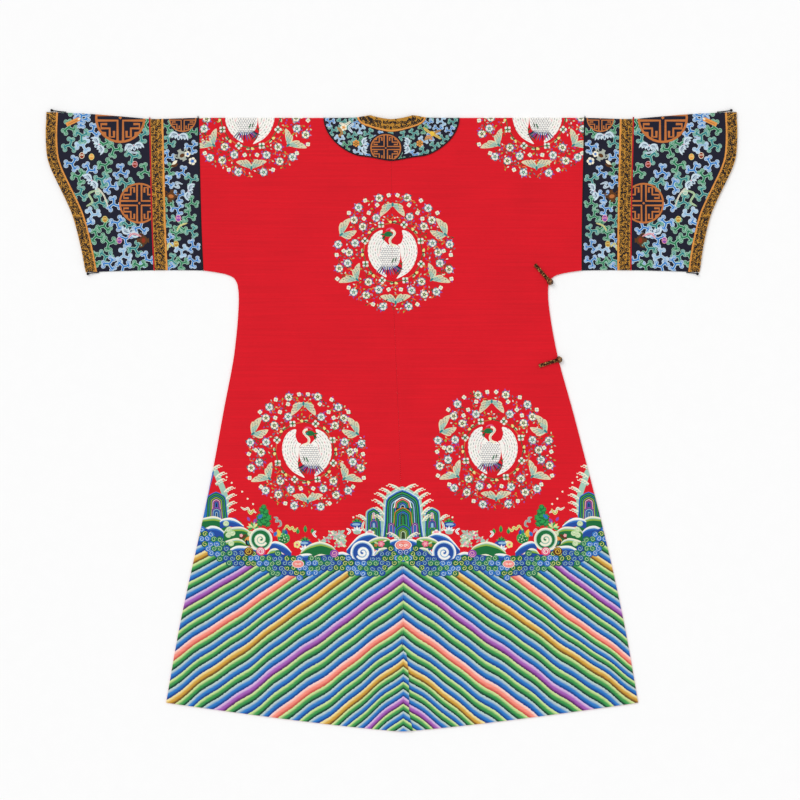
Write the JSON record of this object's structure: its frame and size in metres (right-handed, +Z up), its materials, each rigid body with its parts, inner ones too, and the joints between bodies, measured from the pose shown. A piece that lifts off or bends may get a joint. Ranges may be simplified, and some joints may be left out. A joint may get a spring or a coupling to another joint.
{
  "type": "kesi silk tapestry robe laid flat",
  "caption": "Long flared silk tapestry robe laid flat with its back upwards, with horseshoe cuffs, round collar facing and side braid fastenings.",
  "frame": {"origin": "under the middle of the laid robe, on the surface it lies on", "axes": "+X across to the right sleeve as seen from above, +Y towards the shoulders, +Z up from the surface"},
  "size_m": [1.5634, 1.4074, 0.0136],
  "materials": {
    "red_kesi": "red silk tapestry, fine ribbed weave, soft sheen",
    "navy_kesi": "dark blue silk tapestry, fine ribbed weave",
    "gold_brocade": "brocade ribbon with gilt threads on black",
    "red_silk": "plain red silk piping",
    "black_silk": "plain black silk",
    "braid": "brown and gold braided silk cord",
    "button": "worn copper-coloured brass"
  },
  "bodies": {
    "root": {"body_left_half": "red_kesi", "body_right_half": "red_kesi", "front_overlap": "red_kesi", "neck_ribbon": "gold_brocade", "collar_facing": "navy_kesi", "collar_edging": "black_silk", "sleeve_edging_left": "black_silk", "sleeve_edging_right": "black_silk", "sleeve_band_left": "navy_kesi", "sleeve_band_right": "navy_kesi", "sleeve_ribbon_left": "gold_brocade", "sleeve_ribbon_right": "gold_brocade", "sleeve_piping_left": "red_silk", "sleeve_piping_right": "red_silk", "cuff_left": "navy_kesi", "cuff_right": "navy_kesi", "cuff_ribbon_left": "gold_brocade", "cuff_ribbon_right": "gold_brocade", "cuff_cord_top_left": "black_silk", "cuff_cord_bottom_left": "black_silk", "cuff_cord_top_right": "black_silk", "cuff_cord_bottom_right": "black_silk", "fastening_braid_upper": "braid", "fastening_button_upper": "button", "fastening_braid_lower": "braid", "fastening_button_lower": "button"}
  },
  "joints": []
}
